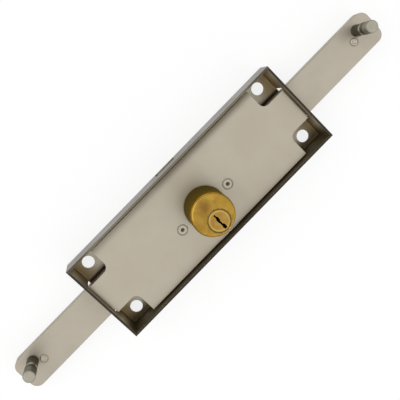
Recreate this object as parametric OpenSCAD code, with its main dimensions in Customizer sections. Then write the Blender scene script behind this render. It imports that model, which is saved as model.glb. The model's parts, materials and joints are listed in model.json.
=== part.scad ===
// Roller shutter lock: a folded steel case with a raised cover plate, a brass key
// cylinder standing out of it, and two flat rods that slide out of the ends.
// Millimetres. +X runs along the lock, +Z points out of the front, and the origin
// is the middle of the case's back face. The lock is drawn with both rods in.

/* [Case] */
// Outside length of the case
case_length = 158.8; // [152:0.2:170]
// Outside width of the case
case_width = 54; // [53:0.2:60]
// Height of the case walls above the back face
case_height = 20.6; // [19:0.2:26]
// Thickness of the case sheet
sheet = 1.3; // [1:0.1:1.6]
// Outside radius of the folded bends
bend_radius = 2.4; // [1.8:0.1:3]
// Distance of the fixing holes from the end walls' outside
hole_inset_x = 9.4; // [8:0.1:10]
// Distance of the fixing holes from the long walls' outside
hole_inset_y = 7.6; // [7:0.1:8.4]
// Diameter of the fixing holes
hole_diameter = 7.4; // [5:0.1:8]
// Length of the window in each long wall
window_length = 14.4; // [8:0.2:20]
// Height of the lower edge of the window
window_bottom = 1.8; // [1.6:0.1:4]
// Height of the upper edge of the window
window_top = 11.4; // [8:0.2:12]

/* [Cover] */
// Height of the front face of the cover plate
cover_top = 15.4; // [15.3:0.1:16.5]
// Thickness of the cover plate
cover_thickness = 1.8; // [1.5:0.1:1.9]
// Gap between the cover plate and the inside of the walls
cover_gap = 1.1; // [0.6:0.1:1.6]
// Width of the tongue at each end of the cover plate
tongue_width = 21.6; // [20.8:0.2:24]
// Length of the corner notches of the cover plate
notch_length = 14.8; // [14.2:0.1:16]
// Rounding at the inside corner of each notch
notch_radius = 4; // [2:0.5:5]

/* [Rods] */
// Width of each rod
rod_width = 20.2; // [19.6:0.1:20.6]
// Thickness of each rod
rod_thickness = 7; // [6:0.1:7.2]
// Height of the underside of the left rod
rod_bottom = 2.2; // [2.1:0.1:2.3]
// How much higher the right rod lies than the left one
rod_step = 2.2; // [1:0.1:2.3]
// Length of rod that stands out of each end of the case
rod_out = 63; // [45:0.2:80]
// Rounding of the rod tip corners
tip_radius = 5; // [3:0.5:8]
// Extra width of the end wall slots on each side of a rod
slot_side_gap = 1.6; // [0.8:0.1:2]
// Height of the upper edge of the end wall slots
slot_top = 13; // [12:0.2:13.4]
// Running clearance beside the guide pillars
guide_clearance = 0.05; // [0.02:0.01:0.1]
// Diameter of the guide pillars
pillar_diameter = 8; // [7:0.1:8.4]
// Distance of the guide pillars from the ends of the case
pillar_inset = 15.5; // [14:0.5:16]
// Length of the pads under and over each rod
pad_length = 26; // [20:0.5:27]
// How much narrower the pads are than the rods
pad_margin = 2.2; // [1:0.1:4]

/* [Studs] */
// Diameter of the stud shank
stud_diameter = 6.6; // [5.5:0.1:7]
// Height of the stud end above the rod
stud_height = 24.4; // [12:0.1:28]
// Distance from the rod tip to the stud
stud_inset = 10.6; // [7:0.1:14]
// Sideways offset of the stud from the middle of the rod
stud_side = 3.5; // [0:0.1:4]
// Diameter of the spigot that holds the stud in the rod
spigot_diameter = 4.6; // [4:0.1:5]
// Diameter of the rivet beside the stud
rivet_diameter = 4; // [3:0.1:4.4]
// Distance from the rod tip to the rivet
rivet_inset = 15.8; // [15.7:0.1:18]

/* [Cylinder] */
// Diameter of the brass cylinder
cylinder_diameter = 24; // [23.8:0.1:25]
// Distance of the cylinder axis from the middle of the lock
cylinder_side = 4.3; // [3.8:0.1:4.5]
// Height of the cylinder face above the back of the case
cylinder_top = 45.6; // [43:0.1:50]
// Rounding of the cylinder face edge
face_rounding = 1.4; // [0.6:0.1:2]
// Diameter of the plug
plug_diameter = 12.8; // [12.4:0.1:13]
// Distance between the plug axis and the cylinder axis
plug_offset = 4.4; // [4.2:0.1:4.4]
// Radial clearance between the plug and its bore
plug_clearance = 0.05; // [0.03:0.01:0.08]
// Width of the keyway
key_slot = 1.9; // [1.6:0.1:2.2]
// Depth of the relief round the foot of the cylinder
relief = 0.2; // [0.1:0.05:0.4]
// Height that the relief shows above the cover
relief_rise = 0.4; // [0.2:0.1:0.6]
// Diameter of the pins in the cylinder
pin_diameter = 2.8; // [2.6:0.1:2.9]
// Radial clearance of the pins in their holes
pin_clearance = 0.06; // [0.04:0.01:0.1]

/* [Screws] */
// Distance of the countersunk screws from the middle of the lock
screw_offset = 18.2; // [18:0.1:18.6]
// Head diameter of the countersunk screws
screw_head = 6.4; // [6:0.1:6.6]
// Shank diameter of the countersunk screws
screw_shank = 3.2; // [3:0.1:3.4]

/* [Hidden] */
$fn = 64;
eps = 0.01;

steel = [0.74, 0.72, 0.66];
dark_steel = [0.42, 0.41, 0.38];
brass = [0.78, 0.63, 0.27];
nylon = [0.2, 0.2, 0.2];

// derived sizes of the case and cover
half_l = case_length / 2;
half_w = case_width / 2;
in_l = half_l - sheet;
in_w = half_w - sheet;
bend_in = bend_radius - sheet;
cover_under = cover_top - cover_thickness;
cover_l = in_l - cover_gap;
cover_w = in_w - cover_gap;
notch_over = 10;
seat_top = cover_under + cover_thickness * 0.6;
rod_top = rod_bottom + rod_step + rod_thickness;
rod_reach = half_l + rod_out;
hole_spacing_x = case_length - 2 * hole_inset_x;
hole_spacing_y = case_width - 2 * hole_inset_y;
pillar_offset = half_l - pillar_inset;
pad_over = 9.5;
pad_x = pillar_offset - pad_length / 2 + pad_over;
pad_width = rod_width - pad_margin;
tenon_r = pillar_diameter / 2 - 1.5;
slot_half = rod_width / 2 + slot_side_gap;
function rod_low(sx) = rod_bottom + (sx > 0 ? rod_step : 0);
function rod_high(sx) = rod_low(sx) + rod_thickness;
slot_base = sheet + 0.2;
pillar_step = 18.5;
small_pillar_x = pillar_offset - pillar_step;
small_pillar_r = 2.6;
small_pillar_y = in_w - small_pillar_r - 1.1;
small_tenon_r = 1.5;

// derived sizes of the rack drive
gear_module = 1;
teeth = 8;
pressure = 25;
pitch_r = gear_module * teeth / 2;
tip_r = pitch_r + gear_module;
root_r = pitch_r - 0.95 * gear_module;
rack_addendum = 0.65 * gear_module;
rack_dedendum = 1.25 * gear_module;
backlash = 0.2;
tooth_pitch = PI * gear_module;
travel = tooth_pitch * teeth;
plug_y = -cylinder_side - plug_offset;
upper_line = plug_y + pitch_r;
lower_line = plug_y - pitch_r;
arm_back = 4.6;
slot_land = 5.3;
arm_gap = 0.9;
slot_in = pillar_offset - travel - pillar_diameter / 2 - 0.4;
slot_out = pillar_offset + pillar_diameter / 2 + 0.4;
body_start = slot_in - slot_land;
arm_reach = body_start - arm_gap;
rack_last = floor(arm_reach / tooth_pitch - 0.92);
web_start = body_start + 0.6;
web_end = web_start + 5.2;

// derived sizes of the cylinder
body_r = cylinder_diameter / 2;
plug_r = plug_diameter / 2;
bore_r = plug_r + plug_clearance;
flange_under = rod_top + 0.4;
flange_half = screw_offset + 4;
flange_width = body_r;
plug_bottom = flange_under + 0.5;
groove_z = plug_bottom + 0.6;
pin_r = pin_diameter / 2;
hole_r = pin_r + pin_clearance;
pin_floor = plug_y + 1.6;
shear_y = plug_y + plug_r - 0.35;
driver_low = plug_y + plug_r + 0.08;
driver_len = 3.4;
chamber_end = -cylinder_side + body_r - 1.6;
pin_zs = [for (i = [0:4]) plug_bottom + 7.9 + i * 4.6];
disc_top = flange_under + 0.4;
blade = 1.6;
blade_depth = 2;
blade_half = 2.3;
journal_r = 2.6;
bush_r = journal_r + 1.4;
ring_r = plug_r + 0.6;

// Draws an upright pin between two heights
module upright(x, y, z0, z1, r) {
  translate([x, y, z0])
    cylinder(h = z1 - z0, r = r);
}

// Cross-section of a folded sheet box: flat below, a rounded bend at each side
module bend_section(w, z0, z1, bend) {
  translate([-w / 2, z0 + bend])
    square([w, z1 - z0 - bend]);
  translate([-w / 2 + bend, z0])
    square([w - 2 * bend, z1 - z0]);
  for (s = [-1, 1])
    translate([s * (w / 2 - bend), z0 + bend])
      circle(bend);
}

// Box whose long and short sides are folded up, so they meet in square corners
module case_solid(l, w, z0, z1, bend) {
  intersection() {
    translate([-l / 2, 0, 0])
      rotate([90, 0, 90])
        linear_extrude(l)
          bend_section(w, z0, z1, bend);
    translate([0, w / 2, 0])
      rotate([90, 0, 0])
        linear_extrude(w)
          bend_section(l, z0, z1, bend);
  }
}

// Folded tray: back sheet, four walls, corner fixing holes, end slots and windows
module case_tray() {
  color(steel)
    difference() {
      case_solid(case_length, case_width, 0, case_height, bend_radius);
      case_solid(2 * in_l, 2 * in_w, sheet, case_height + 1, bend_in);
      for (sx = [-1, 1], sy = [-1, 1])
        upright(sx * hole_spacing_x / 2, sy * hole_spacing_y / 2, -1, sheet + 1, hole_diameter / 2);
      for (sx = [-1, 1])
        translate([sx * half_l - 4, -slot_half, slot_base])
          cube([8, 2 * slot_half, slot_top - slot_base]);
      for (sx = [-1, 1])
        translate([sx * (half_l + 1.7) - 3, -slot_half, -1])
          cube([6, 2 * slot_half, slot_base + 2]);
      for (sy = [-1, 1])
        translate([-window_length / 2, sy * half_w - 4, window_bottom])
          cube([window_length, 8, window_top - window_bottom]);
      upright(0, plug_y, -1, sheet + 1, bush_r);
      for (sx = [-1, 1])
        upright(sx * pillar_offset, 0, -1, sheet + 1, tenon_r);
      for (sx = [-1, 1], sy = [-1, 1])
        upright(sx * small_pillar_x, sy * small_pillar_y, -1, sheet + 1, small_tenon_r);
    }
}

// Plan of the cover plate with its four corner notches
module cover_plan() {
  difference() {
    square([2 * cover_l, 2 * cover_w], center = true);
    for (sx = [-1, 1], sy = [-1, 1])
      translate([sx * (cover_l - notch_length / 2 + notch_over / 2),
                 sy * (cover_w + tongue_width / 2 + notch_over) / 2])
        notch_plan();
  }
}

// One notch, with its inside corners rounded
module notch_plan() {
  nl = notch_length + notch_over;
  nw = cover_w - tongue_width / 2 + notch_over;
  square([nl - 2 * notch_radius, nw], center = true);
  square([nl, nw - 2 * notch_radius], center = true);
  for (sx = [-1, 1], sy = [-1, 1])
    translate([sx * (nl / 2 - notch_radius), sy * (nw / 2 - notch_radius)])
      circle(notch_radius);
}

// Flat cover plate raised above the corner lugs
module cover_plate() {
  color(steel)
    difference() {
      translate([0, 0, cover_under])
        linear_extrude(cover_thickness)
          cover_plan();
      upright(0, -cylinder_side, cover_under - 1, cover_top + 1, body_r + 0.1);
      for (sx = [-1, 1]) {
        upright(sx * screw_offset, -cylinder_side, cover_under - 1, cover_top + 1, screw_shank / 2 + 0.1);
        translate([sx * screw_offset, -cylinder_side, cover_top - screw_sink()])
          cylinder(h = screw_sink() + eps, r1 = screw_shank / 2 + 0.1, r2 = screw_head / 2 + 0.1);
        upright(sx * pillar_offset, 0, cover_under - 1, seat_top, tenon_r);
      }
      for (sx = [-1, 1], sy = [-1, 1])
        upright(sx * small_pillar_x, sy * small_pillar_y, cover_under - 1, seat_top, small_tenon_r);
    }
}

function screw_sink() = (screw_head - screw_shank) / 2;

// Four plain pillars between the back sheet and the cover plate
module cover_pillars() {
  color(dark_steel)
    for (sx = [-1, 1], sy = [-1, 1]) {
      upright(sx * small_pillar_x, sy * small_pillar_y, 0, seat_top, small_tenon_r);
      upright(sx * small_pillar_x, sy * small_pillar_y, sheet, cover_under, small_pillar_r);
    }
}

// Guide pillar that a rod slides along, riveted through both plates
module guide_pillar(sx) {
  color(dark_steel) {
    upright(sx * pillar_offset, 0, 0, seat_top, tenon_r);
    upright(sx * pillar_offset, 0, sheet, cover_under, pillar_diameter / 2);
  }
}

module guide_pillar_left() guide_pillar(-1);

module guide_pillar_right() guide_pillar(1);

// Nylon pad that a rod slides on
module slide_pad(sx) {
  color(nylon)
    difference() {
      translate([sx * pad_x - pad_length / 2, -pad_width / 2, sheet])
        cube([pad_length, pad_width, rod_low(sx) - sheet]);
      upright(sx * pillar_offset, 0, 0, rod_top, pillar_diameter / 2);
    }
}

module slide_pad_left() slide_pad(-1);

module slide_pad_right() slide_pad(1);

// Nylon pad that keeps a rod down under the cover plate
module hold_down(sx) {
  color(nylon)
    difference() {
      translate([sx * pad_x - pad_length / 2, -pad_width / 2, rod_high(sx)])
        cube([pad_length, pad_width, cover_under - rod_high(sx)]);
      upright(sx * pillar_offset, 0, 0, cover_top, pillar_diameter / 2);
    }
}

module hold_down_left() hold_down(-1);

module hold_down_right() hold_down(1);

// Rack arm in plan from x0 to x1, its teeth standing up from y = 0, the pitch line,
// and its x1 end rising as a web when the web height is not zero
module rack_plan(first, last, x0, x1, web) {
  ha = rack_addendum;
  hd = rack_dedendum;
  half = tooth_pitch / 4 - backlash / 4;
  top = half - ha * tan(pressure);
  low = half + hd * tan(pressure);
  centres = [for (i = [first:last]) (i + 0.5) * tooth_pitch];
  polygon(concat(
    [[x0, -hd - arm_back], [x0, -hd]],
    [for (c = centres, p = [[-low, -hd], [-top, ha], [top, ha], [low, -hd]]) [c + p[0], p[1]]],
    web == 0 ? [[x1, -hd]] : [[web_start, -hd], [web_start, web], [x1, web]],
    [[x1, -hd - arm_back]]
  ));
}

// Plan of one rod, drawn for the +X side: body, guide slot and tip
module rod_body_plan() {
  difference() {
    union() {
      translate([body_start, -rod_width / 2])
        square([rod_reach - tip_radius - body_start, rod_width]);
      translate([rod_reach - tip_radius - eps, -rod_width / 2 + tip_radius])
        square([tip_radius + eps, rod_width - 2 * tip_radius]);
      for (s = [-1, 1])
        translate([rod_reach - tip_radius, s * (rod_width / 2 - tip_radius)])
          circle(tip_radius);
    }
    translate([slot_in + pillar_diameter / 2, -guide_half()])
      square([slot_out - slot_in - pillar_diameter, 2 * guide_half()]);
    translate([slot_in + guide_half(), 0])
      circle(guide_half());
    translate([slot_out - guide_half(), 0])
      circle(guide_half());
  }
}

function guide_half() = pillar_diameter / 2 + guide_clearance;

// Holes for the stud spigot and the rivet near the tip
module rod_tip_holes(sx) {
  upright(sx * (rod_reach - stud_inset), stud_side, 0, rod_top + 1, spigot_diameter / 2);
  upright(sx * (rod_reach - rivet_inset), 0, 0, rod_top + 1, rivet_diameter / 2);
}

// Left rod: its rack arm runs above the pinion
module rod_left() {
  color(steel)
    difference() {
      translate([0, 0, rod_low(-1)])
        linear_extrude(rod_thickness)
          union() {
            mirror([1, 0])
              rod_body_plan();
            translate([0, upper_line])
              mirror([0, 1])
                rack_plan(-2, rack_last, -body_start - 1, arm_reach, 0);
          }
      rod_tip_holes(-1);
    }
}

// Right rod: its rack arm runs below the pinion
module rod_right() {
  color(steel)
    difference() {
      translate([0, 0, rod_low(1)])
        union() {
          linear_extrude(rod_thickness)
            rod_body_plan();
          linear_extrude(rod_thickness)
            translate([0, lower_line])
              rack_plan(-rack_last - 1, 1, -arm_reach, web_end, -lower_line - 5);
        }
      rod_tip_holes(1);
    }
}

// Banded stud near a rod tip: spigot, two collars with a groove between, end face
module stud(sx) {
  r = stud_diameter / 2;
  rs = spigot_diameter / 2;
  h = stud_height;
  translate([sx * (rod_reach - stud_inset), stud_side, rod_high(sx)])
    rotate_extrude()
      polygon([
        [0, -rod_thickness], [rs, -rod_thickness], [rs, 0], [r, 0], [r, h * 0.42],
        [r - 0.5, h * 0.46], [r - 0.5, h * 0.54], [r + 0.2, h * 0.58],
        [r + 0.2, h - 0.5], [r - 0.3, h], [0, h]
      ]);
}

module stud_left() {
  color(dark_steel)
    stud(-1);
}

module stud_right() {
  color(dark_steel)
    stud(1);
}

// Small rivet set in the rod with a shallow dimple in its end
module tip_rivet(sx) {
  r = rivet_diameter / 2;
  translate([sx * (rod_reach - rivet_inset), 0, rod_high(sx)])
    rotate_extrude()
      polygon([
        [0, -rod_thickness], [r, -rod_thickness], [r, 0.15], [r - 0.3, 0.3],
        [r - 0.7, 0.3], [r - 0.9, 0.1], [0, 0.1]
      ]);
}

module rivet_left() {
  color(steel)
    tip_rivet(-1);
}

module rivet_right() {
  color(steel)
    tip_rivet(1);
}

// Round holes for the pins, running across from the plug
module pin_holes(y0, y1, r) {
  for (z = pin_zs)
    translate([0, y0, z])
      rotate([-90, 0, 0])
        cylinder(h = y1 - y0, r = r);
}

// Brass body with the plug bore, blind pin chambers and a screwed flange bar
module cylinder_body() {
  f = face_rounding;
  color(brass)
    difference() {
      union() {
        translate([0, -cylinder_side, 0])
          rotate_extrude()
            union() {
              translate([0, flange_under])
                square([body_r - relief, cylinder_top - f - flange_under]);
              translate([0, cover_top + relief_rise])
                square([body_r, cylinder_top - f - cover_top - relief_rise]);
              translate([0, cylinder_top - f - 1])
                square([body_r - f, f + 1]);
              translate([body_r - f, cylinder_top - f])
                intersection() {
                  circle(f);
                  square(f + 1);
                }
            }
        translate([-flange_half, -cylinder_side - flange_width / 2, flange_under])
          cube([2 * flange_half, flange_width, cover_under - flange_under]);
      }
      upright(0, plug_y, flange_under - 1, cylinder_top + 1, bore_r);
      upright(0, plug_y, flange_under - 1, groove_z + 1, ring_r + 0.25);
      pin_holes(plug_y, chamber_end, hole_r);
      for (sx = [-1, 1])
        upright(sx * screw_offset, -cylinder_side, flange_under - 1, cover_top, screw_shank / 2);
    }
}

// Wavy keyway seen on the plug face, open right through the plug
module keyway_plan() {
  w = key_slot;
  polygon([
    [-w * 0.24, 4.3], [w * 0.24, 4.3], [w * 0.24, 2.9], [w * 0.46, 2.2], [w * 0.46, 0.5], [w * 0.16, -0.3],
    [w * 0.16, -2.2], [w * 0.5, -2.9], [w * 0.5, -5], [w * 0.3, -5.4], [-w * 0.3, -5.4],
    [-w * 0.5, -4.9], [-w * 0.5, -3.5], [-w * 0.36, -2.9], [-w * 0.36, -1.2], [-w * 0.5, -0.5],
    [-w * 0.5, 1.4], [-w * 0.24, 2.1]
  ]);
}

// Plug with its keyway, pin holes, circlip groove and drive blade
module cylinder_plug() {
  color(brass)
    difference() {
      union() {
        upright(0, plug_y, plug_bottom, cylinder_top - 0.4, plug_r);
        upright(0, plug_y, cylinder_top - 0.4 - eps, cylinder_top, plug_r - 0.3);
        translate([-blade / 2, plug_y - blade_half, disc_top - blade_depth])
          cube([blade, 2 * blade_half, plug_bottom - disc_top + blade_depth + eps]);
      }
      translate([0, plug_y, plug_bottom + 3.4])
        linear_extrude(cylinder_top)
          keyway_plan();
      pin_holes(pin_floor, plug_y + plug_r + 1, hole_r);
      translate([0, plug_y, groove_z])
        difference() {
          cylinder(h = 0.9, r = plug_r + 1);
          translate([0, 0, -1])
            cylinder(h = 3, r = plug_r - 0.8);
        }
    }
}

// Five key pins standing in the plug, topped just under the shear line
module key_pins() {
  color(brass)
    for (z = pin_zs)
      translate([0, pin_floor, z])
        rotate([-90, 0, 0])
          cylinder(h = shear_y - pin_floor, r = pin_r);
}

// Five driver pins held in the body above the shear line
module driver_pins() {
  color(dark_steel)
    for (z = pin_zs)
      translate([0, driver_low, z])
        rotate([-90, 0, 0])
          cylinder(h = driver_len, r = pin_r);
}

// Five springs, drawn as plain sleeves, between the drivers and the chamber ends
module driver_springs() {
  color(steel)
    for (z = pin_zs)
      translate([0, driver_low + driver_len, z])
        rotate([-90, 0, 0])
          difference() {
            cylinder(h = chamber_end - driver_low - driver_len, r = pin_r);
            translate([0, 0, -1])
              cylinder(h = chamber_end - plug_y, r = pin_r - 0.5);
          }
}

// Open ring seated in the plug groove
module plug_circlip() {
  color(dark_steel)
    translate([0, plug_y, groove_z + 0.1])
      difference() {
        cylinder(h = 0.7, r = ring_r);
        translate([0, 0, -1])
          cylinder(h = 3, r = plug_r - 0.8);
        translate([-1.5, -ring_r - 1, -1])
          cube([3, ring_r, 3]);
      }
}

// Point on the involute of the base circle at radius r, turned by a
function inv_angle(r) = let (c = min(1, base_r() / r)) tan(acos(c)) * 180 / PI - acos(c);
function base_r() = pitch_r * cos(pressure);
function half_tooth() = 90 / teeth - backlash / 4 / pitch_r * 180 / PI;
function flank(r, side) =
  let (a = side * (half_tooth() + inv_angle(pitch_r) - inv_angle(max(r, base_r()))))
  [r * sin(a), r * cos(a)];

// One pinion tooth pointing along +Y
module pinion_tooth() {
  steps = 5;
  rr = [for (i = [0:steps]) base_r() + (tip_r - base_r()) * i / steps];
  polygon(concat(
    [flank(root_r - 0.5, -1)],
    [for (i = [0:steps]) flank(rr[i], -1)],
    [for (i = [steps:-1:0]) flank(rr[i], 1)],
    [flank(root_r - 0.5, 1)]
  ));
}

// Eight toothed pinion on its journal, slotted on top for the blade of the plug
module drive_pinion() {
  color(dark_steel)
    translate([0, plug_y, 0])
      difference() {
        union() {
          translate([0, 0, rod_bottom + 0.15])
            linear_extrude(rod_top - rod_bottom - 0.35)
              union() {
                circle(root_r);
                for (i = [0:teeth - 1])
                  rotate(i * 360 / teeth)
                    pinion_tooth();
              }
          cylinder(h = disc_top, r = journal_r);
        }
        translate([-blade / 2, -tip_r - 1, disc_top - blade_depth])
          cube([blade, 2 * tip_r + 2, blade_depth + 1]);
      }
}

// Flanged bush in the back sheet for the pinion journal
module tail_bush() {
  color(brass)
    difference() {
      union() {
        upright(0, plug_y, 0, sheet + eps, bush_r);
        upright(0, plug_y, sheet, rod_bottom - 0.1, bush_r + 1.4);
      }
      upright(0, plug_y, -1, rod_bottom + 1, journal_r + plug_clearance);
    }
}

// Two countersunk screws through the cover plate into the flange bar
module cylinder_screws() {
  color(steel)
    for (sx = [-1, 1])
      translate([sx * screw_offset, -cylinder_side, 0])
        difference() {
          union() {
            upright(0, 0, flange_under + 0.2, cover_top, screw_shank / 2);
            translate([0, 0, cover_top - screw_sink()])
              cylinder(h = screw_sink(), r1 = screw_shank / 2, r2 = screw_head / 2);
          }
          upright(0, 0, cover_top - 0.6, cover_top + 1, 1.1);
        }
}

case_tray();
cover_plate();
cover_pillars();
guide_pillar_left();
guide_pillar_right();
slide_pad_left();
slide_pad_right();
hold_down_left();
hold_down_right();
rod_left();
rod_right();
stud_left();
stud_right();
rivet_left();
rivet_right();
cylinder_body();
cylinder_plug();
key_pins();
driver_pins();
driver_springs();
plug_circlip();
drive_pinion();
tail_bush();
cylinder_screws();
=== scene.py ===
# %% [markdown]
# # A roller shutter lock, dressed for its portrait
# The lock is a folded steel tray with a raised cover, a brass key cylinder and
# two flat rods that slide out of its ends. Every rigid shape already comes
# from the CAD frame, so this notebook loads it, gives each surface its finish,
# turns the plain sleeves that stand for springs into coils, and lights it all.

import json
import math

import bpy
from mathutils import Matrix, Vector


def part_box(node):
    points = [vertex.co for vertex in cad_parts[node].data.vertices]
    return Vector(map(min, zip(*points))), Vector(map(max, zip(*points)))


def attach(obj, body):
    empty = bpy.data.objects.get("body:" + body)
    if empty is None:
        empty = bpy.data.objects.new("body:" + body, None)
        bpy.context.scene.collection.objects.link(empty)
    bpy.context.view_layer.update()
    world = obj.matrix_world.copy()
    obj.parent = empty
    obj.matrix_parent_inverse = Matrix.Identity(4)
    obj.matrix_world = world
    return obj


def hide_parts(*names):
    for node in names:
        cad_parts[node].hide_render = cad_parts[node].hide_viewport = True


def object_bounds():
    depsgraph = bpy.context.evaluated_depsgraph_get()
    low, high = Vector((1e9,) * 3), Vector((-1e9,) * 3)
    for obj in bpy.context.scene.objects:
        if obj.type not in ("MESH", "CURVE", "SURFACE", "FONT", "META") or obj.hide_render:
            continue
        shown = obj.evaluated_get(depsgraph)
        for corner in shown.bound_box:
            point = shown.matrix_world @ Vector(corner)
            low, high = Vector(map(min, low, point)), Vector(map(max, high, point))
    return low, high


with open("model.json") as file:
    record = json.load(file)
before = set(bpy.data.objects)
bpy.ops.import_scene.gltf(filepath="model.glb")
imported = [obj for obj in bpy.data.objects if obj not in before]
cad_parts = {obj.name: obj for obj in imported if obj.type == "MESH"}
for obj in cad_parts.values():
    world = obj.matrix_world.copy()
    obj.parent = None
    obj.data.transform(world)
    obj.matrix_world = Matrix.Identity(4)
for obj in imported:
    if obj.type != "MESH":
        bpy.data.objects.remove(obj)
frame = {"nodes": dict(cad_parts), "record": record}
cad_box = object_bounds()
nodes = frame["nodes"]
print("CAD box", cad_box)


# %% [markdown]
# ## The camera
# The photograph was taken from above, a little to the far side of the lock,
# with the lock lying corner to corner. The camera could be aimed by eye, but
# the four fixing holes, the studs and the cylinder's rim give its place and
# its turn by a perspective fit, so those numbers are set directly.

# %% Camera
MM = 0.001
SENSOR_WIDTH = 36.0
FOCAL_LENGTH = 64.8
CAMERA_PLACE = (0.41 * MM, 79.3 * MM, 413.8 * MM)
CAMERA_TURN = (-7.8194, -8.0017, -45.1322)
CAMERA_SEES = (0.01, 20.0)

bpy.ops.object.camera_add(
    location=CAMERA_PLACE,
    rotation=[math.radians(a) for a in CAMERA_TURN],
)
camera = bpy.context.object
camera.name = "portrait_camera"
camera.data.sensor_width = SENSOR_WIDTH
camera.data.lens = FOCAL_LENGTH
camera.data.clip_start, camera.data.clip_end = CAMERA_SEES
bpy.context.scene.camera = camera
print("camera at", tuple(round(v, 4) for v in camera.location))


# %% [markdown]
# ## Helpers for node trees
# Every finish is a small network of nodes. Writing each node's place and each
# wire by hand would bury the idea, so one helper adds a node with its values
# and one joins two sockets. Short ones stand for a sum, a blend of colours and
# a soft step. The finishes below then read like recipes.

# %% Node helpers
def add_node(tree, kind, values=None, **settings):
    """Adds a node, sets its properties, and fills its input sockets by name."""
    node = tree.nodes.new(kind)
    for name, value in settings.items():
        setattr(node, name, value)
    for name, value in (values or {}).items():
        node.inputs[name].default_value = value
    return node


def join(tree, output, target):
    """Joins one node's output to another node's input."""
    tree.links.new(output, target)


def maths(tree, operation, first, second):
    """A Math node whose inputs are wires or plain numbers."""
    node = tree.nodes.new("ShaderNodeMath")
    node.operation = operation
    for socket, value in zip(node.inputs, (first, second)):
        if isinstance(value, (int, float)):
            socket.default_value = value
        else:
            join(tree, value, socket)
    return node.outputs[0]


def blend_colours(tree, share, first, second):
    """A colour that goes from first to second as share goes from 0 to 1."""
    node = tree.nodes.new("ShaderNodeMix")
    node.data_type = "RGBA"
    for name, value in (("Factor_Float", share), ("A_Color", first), ("B_Color", second)):
        socket = next(s for s in node.inputs if s.identifier == name)
        if isinstance(value, (int, float, tuple)):
            socket.default_value = value
        else:
            join(tree, value, socket)
    return next(s for s in node.outputs if s.identifier == "Result_Color")


def between(tree, value, low, high, start=0.0, end=1.0):
    """Maps low..high of a wire to start..end, held inside that range."""
    node = add_node(tree, "ShaderNodeMapRange", interpolation_type="SMOOTHSTEP")
    join(tree, value, node.inputs["Value"])
    limits = {"From Min": low, "From Max": high, "To Min": start, "To Max": end}
    for name, number in limits.items():
        node.inputs[name].default_value = number
    return node.outputs["Result"]


def rgb(red, green, blue):
    """A colour as the eye reads it, 0 to 255, in the linear values nodes use."""
    linear = []
    for level in (red, green, blue):
        part = level / 255.0
        linear.append(part / 12.92 if part <= 0.04045 else ((part + 0.055) / 1.055) ** 2.4)
    return (*linear, 1.0)


print("helpers ready")


# %% [markdown]
# ## A helper for shared effects
# Wear, grain, and grime with painted shade in corners come back on many of the
# metals. Each is a node group: built once with named inputs and outputs, then
# placed in a material with that metal's own values. The group gives only masks,
# heights and normals, and the shader itself stays in the material.

# %% Group helper
def new_group(name, inputs, outputs):
    """An empty shader group with its named sockets, and its two end nodes."""
    tree = bpy.data.node_groups.new(name, "ShaderNodeTree")
    for label, default in inputs:
        socket = tree.interface.new_socket(
            name=label, in_out="INPUT", socket_type="NodeSocketFloat"
        )
        socket.default_value = default
    for label, kind in outputs:
        tree.interface.new_socket(
            name=label, in_out="OUTPUT", socket_type="NodeSocket" + kind
        )
    entry = tree.nodes.new("NodeGroupInput")
    way_out = tree.nodes.new("NodeGroupOutput")
    return tree, entry.outputs, way_out.inputs


def place_group(tree, group, **values):
    """Places a group in a material; underscores in a name stand for spaces."""
    node = tree.nodes.new("ShaderNodeGroup")
    node.node_tree = group
    for name, value in values.items():
        node.inputs[name.replace("_", " ")].default_value = value
    return node.outputs


print("group helper ready")


# %% [markdown]
# ## Worn, rounded edges, and a painted glint
# Sheet metal is never sharp: the punch rounds one rim, and handling polishes
# every corner until it glints. The solids have crisp edges, and bevelling each
# would change the frame, so a Bevel node bends the normal near an edge. Where
# the bent normal leaves the true one there is an edge, which is the wear mask;
# on the brass body its colour is a painted highlight.

# %% Edge wear and glint group
def make_edge_wear_and_glint():
    tree, given, out = new_group(
        "edge wear",
        [("Radius", 0.3 * MM), ("Breakup", 900.0)],
        [("Mask", "Float"), ("Normal", "Vector")],
    )
    rounded = add_node(tree, "ShaderNodeBevel", samples=6)
    join(tree, given["Radius"], rounded.inputs["Radius"])
    true_face = add_node(tree, "ShaderNodeNewGeometry")
    agree = add_node(tree, "ShaderNodeVectorMath", operation="DOT_PRODUCT")
    join(tree, rounded.outputs["Normal"], agree.inputs[0])
    join(tree, true_face.outputs["Normal"], agree.inputs[1])
    edge = between(tree, agree.outputs["Value"], 0.9, 0.998, 1.0, 0.0)
    where = add_node(tree, "ShaderNodeTexCoord")
    patchy = add_node(tree, "ShaderNodeTexNoise", {"Detail": 3.0})
    join(tree, where.outputs["Object"], patchy.inputs["Vector"])
    join(tree, given["Breakup"], patchy.inputs["Scale"])
    worn_and_glint = between(tree, patchy.outputs["Fac"], 0.3, 0.6, 0.35, 1.0)
    join(tree, maths(tree, "MULTIPLY", edge, worn_and_glint), out["Mask"])
    join(tree, rounded.outputs["Normal"], out["Normal"])
    return tree


edge_wear_and_glint = make_edge_wear_and_glint()
print("edge wear group:", len(edge_wear_and_glint.nodes), "nodes")


# %% [markdown]
# ## Rolled and brushed grain
# Rolled sheet carries faint lines along the strip, and drawn bar carries them
# along its length. Noise stretched one way gives them: many cycles across, few
# along. The group takes cycles per metre on each axis, so the same group makes
# grain along X on the sheet and rings of grain round a turned stud.

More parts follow.
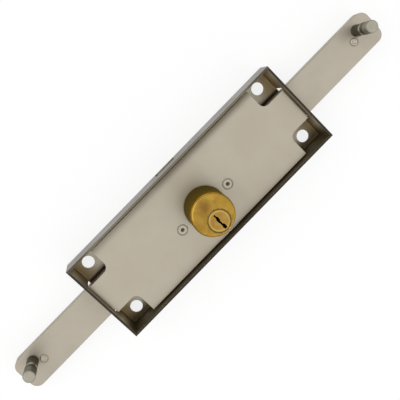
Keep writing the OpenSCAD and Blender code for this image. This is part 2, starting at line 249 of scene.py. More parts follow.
# %% Grain group
def make_grain():
    tree, given, out = new_group(
        "drawn grain",
        [("Cycles X", 60.0), ("Cycles Y", 4000.0), ("Cycles Z", 4000.0)],
        [("Height", "Float"), ("Tone", "Float")],
    )
    where = add_node(tree, "ShaderNodeTexCoord")
    cycles = add_node(tree, "ShaderNodeCombineXYZ")
    for axis in "XYZ":
        join(tree, given["Cycles " + axis], cycles.inputs[axis])
    stretched = add_node(tree, "ShaderNodeVectorMath", operation="MULTIPLY")
    join(tree, where.outputs["Object"], stretched.inputs[0])
    join(tree, cycles.outputs["Vector"], stretched.inputs[1])
    lines = add_node(tree, "ShaderNodeTexNoise", {"Scale": 1.0, "Detail": 4.0, "Roughness": 0.6})
    join(tree, stretched.outputs["Vector"], lines.inputs["Vector"])
    join(tree, lines.outputs["Fac"], out["Height"])
    join(tree, between(tree, lines.outputs["Fac"], 0.3, 0.7), out["Tone"])
    return tree


grain = make_grain()
print("grain group:", len(grain.nodes), "nodes")


# %% [markdown]
# ## Painted shade and grime in the corners, clouds in the plating
# Ambient occlusion measures how shut in a point is, and its mask darkens the
# corners, such as the pocket round each fixing hole: painted shade, with some oil
# and dust where a cloth can't reach. Plating is also never even, so slow noise
# clouds its tone.

# %% Shade-and-grime and cloud groups
def make_grime_and_shade():
    tree, given, out = new_group(
        "corner grime",
        [("Reach", 6 * MM), ("Start", 0.55), ("End", 0.95)],
        [("Mask", "Float")],
    )
    # The occlusion mask darkens shut-in corners: painted shade, with some grime.
    shut_in = add_node(tree, "ShaderNodeAmbientOcclusion", samples=8)
    join(tree, given["Reach"], shut_in.inputs["Distance"])
    mask = add_node(tree, "ShaderNodeMapRange", {"To Min": 1.0, "To Max": 0.0})
    join(tree, shut_in.outputs["AO"], mask.inputs["Value"])
    join(tree, given["Start"], mask.inputs["From Min"])
    join(tree, given["End"], mask.inputs["From Max"])
    join(tree, mask.outputs["Result"], out["Mask"])
    return tree


def make_clouds():
    tree, given, out = new_group(
        "plating clouds", [("Cycles", 45.0)], [("Tone", "Float")]
    )
    where = add_node(tree, "ShaderNodeTexCoord")
    slow = add_node(tree, "ShaderNodeTexNoise", {"Detail": 5.0, "Roughness": 0.55})
    join(tree, where.outputs["Object"], slow.inputs["Vector"])
    join(tree, given["Cycles"], slow.inputs["Scale"])
    join(tree, between(tree, slow.outputs["Fac"], 0.3, 0.7), out["Tone"])
    return tree


grime_and_shade = make_grime_and_shade()
clouds = make_clouds()
print("grime and cloud groups ready")


# %% [markdown]
# ## One recipe for the metals
# Zinc-plated sheet, drawn bar, turned studs and brass differ in colour, gloss
# and the way their grain runs, and share the rest. So one recipe takes those
# values: a clean colour, a cloudy darker one, a grimy one for corners that is
# also painted shade, and another for worn edges, which on the brass body is a
# painted highlight. Plating under a dull film shows part metal, part paint, and
# seen edge-on a dirty metal stays darker than a clean one would.

# %% Metal recipe
GRAIN_DEPTH = 0.001 * MM
GRAIN_SHOWS = 0.16
SOIL_AND_SHADE_DULLS = 0.35
STEEL_EDGE_ON = (0.5, 0.48, 0.45, 1.0)
BRASS_EDGE_ON = (0.5, 0.38, 0.14, 1.0)
FILMED = 0.6
finishes = {}


def new_finish(name):
    """A new material, kept by the name of the record's slot that it finishes."""
    material = bpy.data.materials.new(name)
    material.use_nodes = True
    finishes[name] = material
    return material


def make_metal(name, clean, dull, grimy_and_shaded, worn_and_glint, gloss, grain_cycles,
               edge_radius=0.2 * MM, cloud_cycles=45.0, grime_and_shade_reach=4 * MM,
               grime_and_shade_span=(0.35, 0.85), toning=None, metallic=1.0,
               edge_tint=STEEL_EDGE_ON):
    """A metal with clouds, grain, painted shade with grime in corners, and worn edges
    that on the brass body are a painted highlight. toning, where it is given, adds
    what only this piece shows, such as painted shade along the tray's rim, and gives
    the colour and a mask of what dulls the surface."""
    material = new_finish(name)
    tree = material.node_tree
    shader = tree.nodes["Principled BSDF"]
    shader.inputs["Metallic"].default_value = metallic
    shader.inputs["Specular Tint"].default_value = edge_tint
    cloud = place_group(tree, clouds, Cycles=cloud_cycles)["Tone"]
    lines = place_group(tree, grain, Cycles_X=grain_cycles[0],
                        Cycles_Y=grain_cycles[1], Cycles_Z=grain_cycles[2])
    wear_and_glint = place_group(tree, edge_wear_and_glint, Radius=edge_radius)
    dirt_and_shade = place_group(tree, grime_and_shade, Reach=grime_and_shade_reach, Start=grime_and_shade_span[0], End=grime_and_shade_span[1])

    colour = blend_colours(tree, cloud, clean, dull)
    streak = maths(tree, "MULTIPLY", lines["Tone"], GRAIN_SHOWS)
    colour = blend_colours(tree, streak, colour, dull)
    # Corners take the grimy colour by occlusion: painted shade, with some grime.
    colour = blend_colours(tree, dirt_and_shade["Mask"], colour, grimy_and_shaded)
    soil_and_shade = dirt_and_shade["Mask"]
    if toning:
        colour, extra_soil_and_shade = toning(tree, colour)
        soil_and_shade = maths(tree, "MAXIMUM", soil_and_shade, extra_soil_and_shade)
    # Worn edges; on the brass body this colour is a painted highlight on the rim.
    colour = blend_colours(tree, wear_and_glint["Mask"], colour, worn_and_glint)
    join(tree, colour, shader.inputs["Base Color"])

    rough = between(tree, cloud, 0.0, 1.0, gloss[0], gloss[1])
    rough = maths(tree, "ADD", rough, maths(tree, "MULTIPLY", soil_and_shade, SOIL_AND_SHADE_DULLS))
    join(tree, rough, shader.inputs["Roughness"])

    bump = add_node(tree, "ShaderNodeBump", {"Strength": 1.0, "Distance": GRAIN_DEPTH})
    join(tree, lines["Height"], bump.inputs["Height"])
    join(tree, wear_and_glint["Normal"], bump.inputs["Normal"])
    join(tree, bump.outputs["Normal"], shader.inputs["Normal"])
    return material


print("metal recipe ready")


# %% [markdown]
# ## Pins, pillars and rivets
# The sheet's grain runs along the lock, and the bar's does too, a little finer
# across. Turned pins, screws and the pinion carry rings instead, which is the
# same noise with its short cycles up the axis. The plain turned pieces need
# nothing more than the recipe, so they come first.

# %% Plain metals
SHEET_GRAIN = (60.0, 2500.0, 2500.0)
ALONG_GRAIN = (90.0, 3000.0, 3000.0)
RING_GRAIN = (200.0, 200.0, 2500.0)

make_metal(
    "pillar_steel", rgb(140, 136, 126), rgb(120, 116, 106), rgb(50, 44, 34),
    rgb(180, 175, 160), (0.3, 0.4), RING_GRAIN)
make_metal(
    "pinion_steel", rgb(150, 147, 138), rgb(128, 124, 114), rgb(44, 40, 32),
    rgb(190, 186, 174), (0.28, 0.38), RING_GRAIN)
pin_steel = make_metal(
    "pin_steel", rgb(190, 190, 186), rgb(170, 170, 166), rgb(80, 76, 66),
    rgb(215, 215, 210), (0.18, 0.28), RING_GRAIN)
make_metal(
    "rivet_steel", rgb(196, 186, 172), rgb(184, 174, 160), rgb(140, 126, 108),
    rgb(178, 168, 154), (0.3, 0.4), RING_GRAIN, grime_and_shade_reach=1.0 * MM)
make_metal(
    "pin_brass", rgb(204, 164, 84), rgb(186, 146, 70), rgb(90, 64, 26),
    rgb(226, 190, 110), (0.22, 0.3), RING_GRAIN)
print(len(finishes), "plain metals made")


# %% [markdown]
# ## Where on the piece a point is
# Some tones belong to a place: the raw cut edge along the rim, or the oil
# that gathers along one wall. Object coordinates give the place in metres, and
# a soft step from one distance to another gives a mask that fades. Rings round
# a screw or a rivet follow the distance from its own axis.

# %% Place helpers
def place_on(tree):
    """The x, y and z of the point, and how far out it is along the lock."""
    where = add_node(tree, "ShaderNodeTexCoord")
    split = tree.nodes.new("ShaderNodeSeparateXYZ")
    join(tree, where.outputs["Object"], split.inputs[0])
    x, y, z = split.outputs
    return x, y, z, maths(tree, "ABSOLUTE", x, 0.0)


def from_axis(tree, x, y, centre):
    """How far a point is from an upright axis through centre."""
    flat = add_node(tree, "ShaderNodeCombineXYZ")
    join(tree, maths(tree, "SUBTRACT", x, centre[0]), flat.inputs["X"])
    join(tree, maths(tree, "SUBTRACT", y, centre[1]), flat.inputs["Y"])
    length = add_node(tree, "ShaderNodeVectorMath", operation="LENGTH")
    join(tree, flat.outputs["Vector"], length.inputs[0])
    return length.outputs["Value"]


def all_of(tree, first, *others):
    """Several masks multiplied together."""
    for mask in others:
        first = maths(tree, "MULTIPLY", first, mask)
    return first


print("place helpers ready")


# %% [markdown]
# ## The folded tray
# The tray is plated sheet. Masks by place paint shade over the plating: a dark
# line along the rim, a brown painted reflection of the walls in the pockets round
# the fixing holes, darker shade along the lower wall and beside the rods, and a
# greyer outer face on the upper wall. The tray's box gives its walls, and a pair
# of lengths is where a fade starts and ends.

# %% Where the tray is toned
tray_low, tray_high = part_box("case_tray")
CASE_END, CASE_SIDE, CASE_RIM = tray_high
SHEET = 1.3 * MM
POCKET_OUT = (65 * MM, 78 * MM)
POCKET_UP = (11 * MM, 17 * MM)
LOWER_WALL = (-25.5 * MM, -17 * MM)
UPPER_WALL = (CASE_SIDE - 1.8 * MM, CASE_SIDE - 1.4 * MM)
PALE_RIM_OUT = (56 * MM, 72 * MM)
BESIDE_ROD = (10.8 * MM, 12.4 * MM)
RIM_SHADE = rgb(38, 31, 21)
UPPER_RIM_SHADE = rgb(118, 111, 95)
POCKET_WALL_REFLECTION = rgb(176, 154, 112)
LOWER_WALL_SHADE = rgb(96, 84, 58)
ROD_GAP_SHADE = rgb(46, 34, 22)
OUTER_WALL_SHADE = rgb(138, 135, 131)
print("tray box", tray_low, tray_high)


# %% Tray steel
def inside_tray(tree, out, across, z):
    """1 on the tray's inner faces, and 0 on its back, its outside and its rim."""
    return all_of(
        tree, between(tree, z, SHEET - 0.1 * MM, SHEET),
        between(tree, z, CASE_RIM - 0.1 * MM, CASE_RIM - 0.02 * MM, 1.0, 0.0),
        between(tree, out, CASE_END - 1.1 * MM, CASE_END - 0.9 * MM, 1.0, 0.0),
        between(tree, across, CASE_SIDE - 1.1 * MM, CASE_SIDE - 0.9 * MM, 1.0, 0.0))


def paint_rim_shade(tree, colour, y, z, out):
    """Painted shade along the rim, paler along the middle of the upper wall."""
    # A dark line along the rim: painted shade.
    rim = between(tree, z, CASE_RIM - 0.3 * MM, CASE_RIM - 0.1 * MM, 0.0, 0.94)
    upper = maths(tree, "MULTIPLY", between(tree, y, *UPPER_WALL),
                  between(tree, out, *PALE_RIM_OUT, 1.0, 0.35))
    edge = blend_colours(tree, upper, RIM_SHADE, UPPER_RIM_SHADE)
    return blend_colours(tree, rim, colour, edge)


def tone_tray(tree, colour):
    """Painted shade and reflection in the pockets, along the lower wall, beside the rods and on
    the upper wall's outer face, then along the rim.
    """
    x, y, z, out = place_on(tree)
    across = maths(tree, "ABSOLUTE", y, 0.0)
    inside = inside_tray(tree, out, across, z)
    # Brown in the pockets at the ends: painted reflection of the walls.
    ends = all_of(tree, between(tree, out, *POCKET_OUT, 0.0, 0.85), inside,
                  between(tree, z, *POCKET_UP, 1.0, 0.4))
    colour = blend_colours(tree, ends, colour, POCKET_WALL_REFLECTION)
    # Darker along the lower wall: painted shade.
    lower = maths(tree, "MULTIPLY", between(tree, y, *LOWER_WALL, 0.95, 0.0), inside)
    colour = blend_colours(tree, lower, colour, LOWER_WALL_SHADE)
    # Dark on the floor beside the rods: painted shade in the gap under the cover.
    near_rod = all_of(
        tree, inside, between(tree, z, SHEET + 0.1 * MM, SHEET + 0.3 * MM, 1.0, 0.0),
        between(tree, across, *BESIDE_ROD, 0.95, 0.0))
    colour = blend_colours(tree, near_rod, colour, ROD_GAP_SHADE)
    # The upper wall's outer face greyer: painted shade.
    wall = between(tree, y, CASE_SIDE - 0.3 * MM, CASE_SIDE - 0.1 * MM, 0.0, 0.8)
    colour = blend_colours(tree, wall, colour, OUTER_WALL_SHADE)
    soil_and_shade = maths(tree, "MAXIMUM", maths(tree, "MAXIMUM", ends, lower), near_rod)
    return paint_rim_shade(tree, colour, y, z, out), soil_and_shade


make_metal(
    "case_steel", rgb(186, 179, 162), rgb(174, 167, 149), rgb(104, 90, 64),
    rgb(200, 194, 177), (0.22, 0.3), SHEET_GRAIN, edge_radius=0.1 * MM,
    toning=tone_tray, metallic=FILMED)
print("tray steel made")


# %% [markdown]
# ## The cover plate
# The cover is the same sheet, flatter and cleaner. Along the upper edge, next
# to the wall, one more soft mask by place browns it as painted shade, stronger
# towards the right end.

# %% Cover steel
WALL_SHADE_BROWN = rgb(104, 94, 76)
BROWN_ACROSS = (19.5 * MM, 24.6 * MM)
BROWN_ALONG = (-60 * MM, 40 * MM)


def tone_cover(tree, colour):
    """Painted shade as a browner strip along the upper edge, stronger towards the right end."""
    x, y, z, out = place_on(tree)
    # Browner near the upper wall: painted shade.
    strip = between(tree, y, *BROWN_ACROSS, 0.0, 0.75)
    strip = maths(tree, "MULTIPLY", strip, between(tree, x, *BROWN_ALONG, 0.6, 1.0))
    return blend_colours(tree, strip, colour, WALL_SHADE_BROWN), strip


make_metal(
    "cover_steel", rgb(192, 184, 167), rgb(186, 177, 160), rgb(100, 90, 68),
    rgb(202, 195, 178), (0.3, 0.36), SHEET_GRAIN, grime_and_shade_reach=1.5 * MM,
    toning=tone_cover, metallic=FILMED)
print("cover steel made")


# %% [markdown]
# ## The two rods
# The rods are punched from thicker strip. A punch drags the plating over the
# edge, so a dull line runs round the outline. Their sides carry painted shade,
# and a soft darker ring lies round the rivet near each tip.

# %% Rod steel
rod_low, rod_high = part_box("rod_right")
rivet_low, rivet_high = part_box("rivet_right")
ROD_SIDE = 10.2 * MM
RIVET_AT = ((rivet_low[0] + rivet_high[0]) / 2, (rivet_low[1] + rivet_high[1]) / 2)
RIVET_HEAD = (rivet_high[0] - rivet_low[0]) / 2
ROD_SIDE_SHADE = rgb(58, 50, 45)
RIVET_RING_DARK = rgb(138, 126, 110)


def tone_rod(tree, colour):
    """Painted shade on the sides and a soft darker ring round the rivet."""
    x, y, z, out = place_on(tree)
    across = maths(tree, "ABSOLUTE", y, 0.0)
    # The sides darken: painted shade.
    side = between(tree, across, ROD_SIDE, ROD_SIDE + 0.25 * MM, 0.0, 0.9)
    colour = blend_colours(tree, side, colour, ROD_SIDE_SHADE)
    radius = from_axis(tree, out, y, RIVET_AT)
    ring = all_of(
        tree, between(tree, radius, RIVET_HEAD + 0.5 * MM, RIVET_HEAD + 1.1 * MM, 0.5, 0.0),
        between(tree, radius, RIVET_HEAD - 0.3 * MM, RIVET_HEAD))
    return blend_colours(tree, ring, colour, RIVET_RING_DARK), maths(tree, "MAXIMUM", side, ring)


make_metal(
    "rod_steel", rgb(190, 181, 165), rgb(180, 172, 156), rgb(126, 118, 98),
    rgb(158, 151, 135), (0.32, 0.38), ALONG_GRAIN, edge_radius=0.45 * MM,
    grime_and_shade_reach=1.0 * MM, toning=tone_rod, metallic=FILMED)
print("rod box", rod_low, rod_high, "rivet at", RIVET_AT)


# %% [markdown]
# ## The two screws
# Each screw head is darker in its socket and along a line where it meets the
# cover. Both follow the distance from the screw's own axis, which the node's box
# gives.

# %% Screw steel
screw_low, screw_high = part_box("cylinder_screws")
SCREW_HEAD = (screw_high[1] - screw_low[1]) / 2
SCREW_OUT = screw_high[0] - SCREW_HEAD
SCREW_SIDE = (screw_low[1] + screw_high[1]) / 2
SCREW_SOCKET = (0.8 * MM, 1.4 * MM)
SCREW_DARK = rgb(74, 67, 55)


def tone_screw(tree, colour):
    """A dark socket in the middle and a dark line round the head."""
    x, y, z, out = place_on(tree)
    radius = from_axis(tree, out, y, (SCREW_OUT, SCREW_SIDE))
    socket = between(tree, radius, *SCREW_SOCKET, 0.9, 0.0)
    line = between(tree, radius, SCREW_HEAD - 1.0 * MM, SCREW_HEAD - 0.5 * MM, 0.0, 0.55)
    dark = maths(tree, "MAXIMUM", socket, line)
    return blend_colours(tree, dark, colour, SCREW_DARK), dark


make_metal(
    "screw_steel", rgb(192, 184, 166), rgb(178, 170, 152), rgb(90, 80, 62),
    rgb(206, 200, 184), (0.22, 0.3), RING_GRAIN, grime_and_shade_reach=0.8 * MM, toning=tone_screw)
print("screws", SCREW_OUT, "m out, head", SCREW_HEAD, "m")


# %% [markdown]
# ## The brass cylinder and its plug
# Both are turned from the same bar, so they share a colour. The face is golden
# with a brown bloom on one side of it, and the barrel goes olive towards its
# foot, a painted reflection of the darker room. The face's rounded rim and a
# line inside the plug's rim carry painted highlights. The plug sits in a ring of
# old grease, and more of it fills the keyway, which is why that part shines
# less.

# %% Where the brass is toned
BODY_AXIS = (0.0, -4.3 * MM)
BODY_RADIUS = 12 * MM
FACE_HEIGHT = cad_box[1][2]
plug_low, plug_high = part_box("cylinder_plug")
PLUG_AXIS = ((plug_low[0] + plug_high[0]) / 2, (plug_low[1] + plug_high[1]) / 2)
PLUG_RADIUS = (plug_high[0] - plug_low[0]) / 2
BARREL_REFLECTION_OLIVE = rgb(104, 98, 56)
FACE_BLOOM_BROWN = rgb(122, 84, 44)
RING_GREASE = rgb(98, 74, 32)
PLUG_RING_HIGHLIGHT = rgb(214, 180, 100)
KEYWAY_GREASE = rgb(150, 78, 54)
GREASE_DULLS = 0.8
BLOOM_AT = (-1 * MM, 2.2 * MM)
BLOOM_REACH = (1 * MM, 7 * MM)
print("plug axis", PLUG_AXIS, "radius", PLUG_RADIUS)


# %% Body brass
def tone_body(tree, colour):
    """Painted olive reflection up the barrel, a brown bloom on the face, grease round the plug.
    """
    x, y, z, out = place_on(tree)
    # Olive towards the barrel's foot: painted reflection of the darker room.
    barrel = all_of(
        tree, between(tree, z, FACE_HEIGHT - 10 * MM, FACE_HEIGHT - 1.2 * MM, 0.92, 0.0),
        between(tree, from_axis(tree, x, y, BODY_AXIS),
                BODY_RADIUS - 0.8 * MM, BODY_RADIUS - 0.4 * MM))
    colour = blend_colours(tree, barrel, colour, BARREL_REFLECTION_OLIVE)
    patches = place_group(tree, clouds, Cycles=190.0)["Tone"]
    from_bloom = from_axis(tree, x, y, BLOOM_AT)
    bloom = all_of(tree, between(tree, from_bloom, *BLOOM_REACH, 0.7, 0.0),
                   between(tree, patches, 0.1, 0.8, 0.6, 1.0))
    colour = blend_colours(tree, bloom, colour, FACE_BLOOM_BROWN)
    ring = between(tree, from_axis(tree, x, y, PLUG_AXIS),
                   PLUG_RADIUS + 0.2 * MM, PLUG_RADIUS + 0.6 * MM, 0.8, 0.0)
    return blend_colours(tree, ring, colour, RING_GREASE), maths(tree, "MAXIMUM", barrel, ring)


# The light edge colour of the body is a painted highlight on the face's rounded rim.
make_metal(
    "body_brass", rgb(190, 153, 68), rgb(156, 122, 50), rgb(92, 76, 34),
    rgb(246, 220, 146), (0.2, 0.3), RING_GRAIN, edge_radius=0.5 * MM,
    cloud_cycles=140.0, toning=tone_body, edge_tint=BRASS_EDGE_ON)
print("body brass made")


# %% Plug brass
def keyway_mask(tree):
    """What lies below the plug's face, inside its rim."""
    x, y, z, out = place_on(tree)
    radius = from_axis(tree, x, y, PLUG_AXIS)
    return all_of(
        tree, between(tree, z, FACE_HEIGHT - 0.35 * MM, FACE_HEIGHT - 0.1 * MM, 1.0, 0.0),
        between(tree, radius, PLUG_RADIUS - 1.2 * MM, PLUG_RADIUS - 1.0 * MM, 1.0, 0.0))


def tone_plug(tree, colour):
    """A greasy outer line, a painted highlight inside it, and a dirty keyway."""
    x, y, z, out = place_on(tree)
    radius = from_axis(tree, x, y, PLUG_AXIS)
    # A bright line inside the plug's rim: painted highlight.
    bright = all_of(
        tree, between(tree, radius, PLUG_RADIUS - 1.8 * MM, PLUG_RADIUS - 1.1 * MM),
        between(tree, radius, PLUG_RADIUS - 1.0 * MM, PLUG_RADIUS - 0.6 * MM, 0.6, 0.0))
    colour = blend_colours(tree, bright, colour, PLUG_RING_HIGHLIGHT)
    ring = between(tree, radius, PLUG_RADIUS - 0.8 * MM, PLUG_RADIUS - 0.4 * MM, 0.0, 0.8)
    colour = blend_colours(tree, ring, colour, RING_GREASE)
    pit = keyway_mask(tree)
    return blend_colours(tree, pit, colour, KEYWAY_GREASE), maths(tree, "MAXIMUM", ring, pit)


def dull_keyway(material):
    """Lets the grease in the keyway lose its metal shine."""
    tree = material.node_tree
    dulled = maths(tree, "MULTIPLY", keyway_mask(tree), GREASE_DULLS)
    metal = maths(tree, "SUBTRACT", 1.0, dulled)
    join(tree, metal, tree.nodes["Principled BSDF"].inputs["Metallic"])


plug_brass = make_metal(
    "plug_brass", rgb(186, 150, 78), rgb(160, 124, 60), rgb(60, 34, 18),
    rgb(226, 194, 120), (0.22, 0.3), RING_GRAIN, cloud_cycles=200.0,
    grime_and_shade_reach=1.2 * MM, grime_and_shade_span=(0.5, 0.95), toning=tone_plug,
    edge_tint=BRASS_EDGE_ON)
dull_keyway(plug_brass)
print("plug brass made")


# %% [markdown]
# ## The turned studs
# The studs keep the dark scale of their heat treatment. The groove between
# their collars and the end faces were turned bright afterwards, and the shutter
# rubs the upper collar, more on the right. The CAD node has one slot, so the
# height of the point picks the tone.

# %% Stud steel
STUD_BRIGHT = rgb(184, 181, 166)
STUD_RUBBED = rgb(160, 158, 144)
STUD_TOP = 33.5 * MM
COLLAR_FOOT = (26.6 * MM, 27.6 * MM)
GROOVE_FOOT = (19.6 * MM, 20.2 * MM)
GROOVE_TOP = (22.6 * MM, 23.2 * MM)
RODS_APART = 2.2 * MM
LEFT_TO_RIGHT = (-1 * MM, 1 * MM)


def tone_stud(tree, colour):
    """Bright end faces and groove, and a rubbed upper collar."""
    x, y, z, out = place_on(tree)
    step_up = between(tree, x, *LEFT_TO_RIGHT, 0.0, RODS_APART)
    height = maths(tree, "SUBTRACT", z, step_up)
    rubbed = maths(tree, "MULTIPLY", between(tree, height, *COLLAR_FOOT),
                   between(tree, x, *LEFT_TO_RIGHT, 0.35, 0.8))
    colour = blend_colours(tree, rubbed, colour, STUD_RUBBED)
    face = between(tree, height, STUD_TOP - 0.4 * MM, STUD_TOP - 0.1 * MM)
    groove = all_of(tree, between(tree, height, *GROOVE_FOOT, 0.0, 0.7),
                    between(tree, height, *GROOVE_TOP, 1.0, 0.0))
    bright = maths(tree, "MAXIMUM", face, groove)
    return blend_colours(tree, bright, colour, STUD_BRIGHT), face


make_metal(
    "stud_steel", rgb(118, 116, 106), rgb(94, 92, 84), rgb(48, 45, 38),
    rgb(150, 148, 136), (0.28, 0.38), RING_GRAIN, cloud_cycles=260.0,
    grime_and_shade_reach=1.0 * MM, toning=tone_stud)
print("stud steel made")


# %% [markdown]
# ## The nylon slides
# The rods run on dark nylon pads. Moulded nylon has a soft sheen and a very
# fine pebble, so it needs only a dark colour, a middling roughness and a low
# bump from fine noise.

# %% Nylon
def make_nylon():
    tree = new_finish("pad_nylon").node_tree
    shader = tree.nodes["Principled BSDF"]
    cloud = place_group(tree, clouds, Cycles=300.0)["Tone"]
    colour = blend_colours(tree, cloud, rgb(44, 43, 41), rgb(58, 56, 53))
    join(tree, colour, shader.inputs["Base Color"])
    join(tree, between(tree, cloud, 0.0, 1.0, 0.5, 0.62), shader.inputs["Roughness"])
    pebble = place_group(tree, grain, Cycles_X=4000.0, Cycles_Y=4000.0, Cycles_Z=4000.0)
    bump = add_node(tree, "ShaderNodeBump", {"Strength": 0.4, "Distance": 0.02 * MM})
    join(tree, pebble["Height"], bump.inputs["Height"])
    join(tree, bump.outputs["Normal"], shader.inputs["Normal"])


make_nylon()
print("nylon made")


# %% [markdown]
# ## Finishes on the CAD pieces
# The record names one slot for each piece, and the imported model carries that
# name. The pieces keep their shapes, so only the material in each slot is
# swapped for the finish with the same name.

# %% Assign the finishes
slot_of = {s["node"]: s["material_slot"] for s in frame["record"]["subparts"]}
for name, piece in nodes.items():
    finish = finishes[slot_of[name]]
    for place in piece.material_slots:
        place.material = finish
    if not piece.material_slots:
        piece.data.materials.append(finish)
print(len(nodes), "pieces finished")


# %% [markdown]
# ## Springs behind the driver pins
# Each driver pin is pushed by a coil spring, which the CAD holds as a plain
# sleeve so that it stays light. They only show when the cylinder is cut open.
# A coil is one circle of wire turned and lifted at once, which is what a Screw
# modifier does, so one is made that way and closed at both ends. The others are
# copies of it, one above each pin, and all five are joined into one piece.

# %% One spring
SPRING_COUNT = 5
SPRING_TURNS = 8
WIRE_RADIUS = 0.16 * MM
WIRE_SIDES = 10
STEPS_PER_TURN = 20
spring_low, spring_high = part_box("driver_springs")
spring_radius = (spring_high[0] - spring_low[0]) / 2
first_axis = spring_low[2] + spring_radius
spring_step = (spring_high[2] - spring_low[2] - 2 * spring_radius) / (SPRING_COUNT - 1)
spring_length = spring_high[1] - spring_low[1]

bpy.ops.object.select_all(action="DESELECT")
bpy.ops.mesh.primitive_circle_add(
    vertices=WIRE_SIDES, radius=WIRE_RADIUS, location=(0, spring_low[1], first_axis))
spring = bpy.context.object
bpy.ops.object.mode_set(mode="EDIT")
bpy.ops.transform.translate(value=(spring_radius - WIRE_RADIUS, WIRE_RADIUS, 0))
bpy.ops.object.mode_set(mode="OBJECT")
coil = spring.modifiers.new("coil", "SCREW")
coil.axis = "Y"
coil.steps = coil.render_steps = STEPS_PER_TURN
coil.iterations = SPRING_TURNS
coil.screw_offset = (spring_length - 2 * WIRE_RADIUS) / SPRING_TURNS
bpy.ops.object.modifier_apply(modifier="coil")
bpy.ops.object.mode_set(mode="EDIT")
bpy.ops.mesh.select_all(action="SELECT")
bpy.ops.mesh.fill_holes(sides=0)
bpy.ops.mesh.select_all(action="SELECT")
bpy.ops.mesh.normals_make_consistent(inside=False)
bpy.ops.object.mode_set(mode="OBJECT")
print("one spring:", len(spring.data.polygons), "faces,", spring_length, "m long")


# %% Five springs in their chambers
coils = [spring]
for step in range(1, SPRING_COUNT):
    bpy.ops.object.select_all(action="DESELECT")
    spring.select_set(True)
    bpy.context.view_layer.objects.active = spring
    bpy.ops.object.duplicate(linked=False)
    bpy.ops.transform.translate(value=(0, 0, step * spring_step))
    coils.append(bpy.context.object)
bpy.ops.object.select_all(action="DESELECT")
for piece in coils:
    piece.select_set(True)
bpy.context.view_layer.objects.active = spring
bpy.ops.object.join()
bpy.ops.object.transform_apply(location=True, rotation=True, scale=True)
bpy.ops.object.shade_smooth_by_angle(angle=math.radians(40))

spring.name = "pin_springs"
spring.data.materials.clear()
spring.data.materials.append(pin_steel)
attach(spring, "case")
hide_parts("driver_springs")
print(SPRING_COUNT, "springs:", len(spring.data.polygons), "faces")


# %% [markdown]
# ## The table top
# The lock lies on a plain white sheet. A diffuse sheet alone renders a little
# grey, so for the camera and for reflections part of its white is given as
# light, and the rest stays diffuse and keeps the lock's shadow.

# %% Floor
PAPER = (0.9, 0.9, 0.9, 1.0)
PAPER_SHADED = (0.22, 0.22, 0.22, 1.0)
PAPER_GLOW = 0.81
WHITE = (1.0, 1.0, 1.0, 1.0)


def make_paper():
    material = bpy.data.materials.new("white_sheet")
    material.use_nodes = True
    tree = material.node_tree
    tree.nodes.remove(tree.nodes["Principled BSDF"])
    out = tree.nodes["Material Output"]
    matt = add_node(tree, "ShaderNodeBsdfDiffuse", {"Color": PAPER})
    faint = add_node(tree, "ShaderNodeBsdfDiffuse", {"Color": PAPER_SHADED})
    glow = add_node(tree, "ShaderNodeEmission", {"Color": WHITE, "Strength": PAPER_GLOW})
    seen = tree.nodes.new("ShaderNodeAddShader")
    join(tree, faint.outputs[0], seen.inputs[0])
    join(tree, glow.outputs[0], seen.inputs[1])
    path = tree.nodes.new("ShaderNodeLightPath")
    direct = maths(tree, "MAXIMUM", path.outputs["Is Camera Ray"], path.outputs["Is Glossy Ray"])
    direct = maths(tree, "MAXIMUM", direct, path.outputs["Is Transmission Ray"])
    pick = tree.nodes.new("ShaderNodeMixShader")
    join(tree, direct, pick.inputs["Fac"])
    join(tree, matt.outputs[0], pick.inputs[1])
    join(tree, seen.outputs[0], pick.inputs[2])
    join(tree, pick.outputs[0], out.inputs["Surface"])
    return material


bpy.ops.object.select_all(action="DESELECT")
bpy.ops.mesh.primitive_plane_add(size=6.0, location=(0, 0, 0))
floor = bpy.context.object
floor.name = "table_sheet"
floor.data.materials.append(make_paper())
print("floor laid")


# %% [markdown]
# ## The studio
# Flat metal shows what is above it. A plain white room would make every face
# the same tone, so the room that the metal reflects darkens slowly towards the
# horizon, and is a little darker overhead, where the photographer stood. Two
# wide soft lamps give the lock its form.

# %% World and lamps
PATCH_AIM = (0.05, 0.19, 0.98)
PATCH_EDGE = math.cos(math.radians(22))
PATCH_CORE = math.cos(math.radians(9))
PATCH_TONE = 0.9
HORIZON_TONE = 0.4
HORIZON_FADE = (0.15, 0.8)
ROOM_LIGHT = 0.7


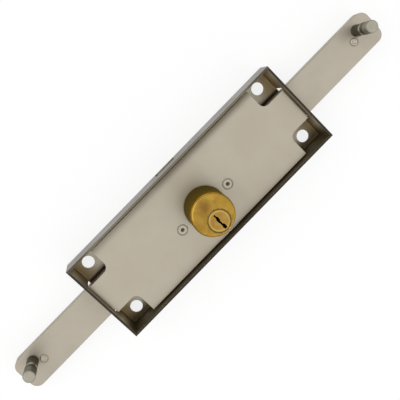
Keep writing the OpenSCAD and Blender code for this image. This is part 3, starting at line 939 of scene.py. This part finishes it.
def make_world():
    world = bpy.data.worlds.new("studio")
    world.use_nodes = True
    tree = world.node_tree
    back = tree.nodes["Background"]
    path = tree.nodes.new("ShaderNodeLightPath")
    where = tree.nodes.new("ShaderNodeTexCoord")
    split = tree.nodes.new("ShaderNodeSeparateXYZ")
    join(tree, where.outputs["Generated"], split.inputs[0])
    ceiling = between(tree, split.outputs["Z"], *HORIZON_FADE, HORIZON_TONE, 1.0)
    towards = add_node(tree, "ShaderNodeVectorMath", operation="DOT_PRODUCT")
    join(tree, where.outputs["Generated"], towards.inputs[0])
    towards.inputs[1].default_value = PATCH_AIM
    patch = between(tree, towards.outputs["Value"], PATCH_EDGE, PATCH_CORE, 1.0, PATCH_TONE)
    ceiling = maths(tree, "MULTIPLY", ceiling, patch)
    glossy = path.outputs["Is Glossy Ray"]
    through = path.outputs["Is Transmission Ray"]
    seen = maths(tree, "MAXIMUM", path.outputs["Is Camera Ray"], through)
    level = maths(tree, "MULTIPLY", glossy, ceiling)
    level = maths(tree, "MAXIMUM", level, seen)
    plain = maths(tree, "SUBTRACT", 1.0, maths(tree, "MAXIMUM", glossy, seen))
    level = maths(tree, "ADD", level, maths(tree, "MULTIPLY", plain, ROOM_LIGHT))
    back.inputs["Color"].default_value = WHITE
    join(tree, level, back.inputs["Strength"])
    bpy.context.scene.world = world


def add_lamp(name, place, size, watts):
    """A square soft lamp that looks at the lock."""
    bpy.ops.object.light_add(type="AREA", location=place)
    lamp = bpy.context.object
    lamp.name = name
    lamp.data.shape = "SQUARE"
    lamp.data.size = size
    lamp.data.energy = watts
    across = math.hypot(place[0], place[1])
    lamp.rotation_euler = (
        math.atan2(across, place[2]),
        0.0,
        math.atan2(place[1], place[0]) + math.pi / 2,
    )


make_world()
add_lamp("key_lamp", (-0.6, 0.7, 1.0), 1.2, 4.0)
add_lamp("fill_lamp", (0.3, -1.3, 0.9), 1.4, 4.0)
print("studio lit")


# %% [markdown]
# ## How the colours are shown
# The Standard view shows a colour as it is written. The other view settings
# keep their defaults.

# %% View
bpy.context.scene.view_settings.view_transform = "Standard"
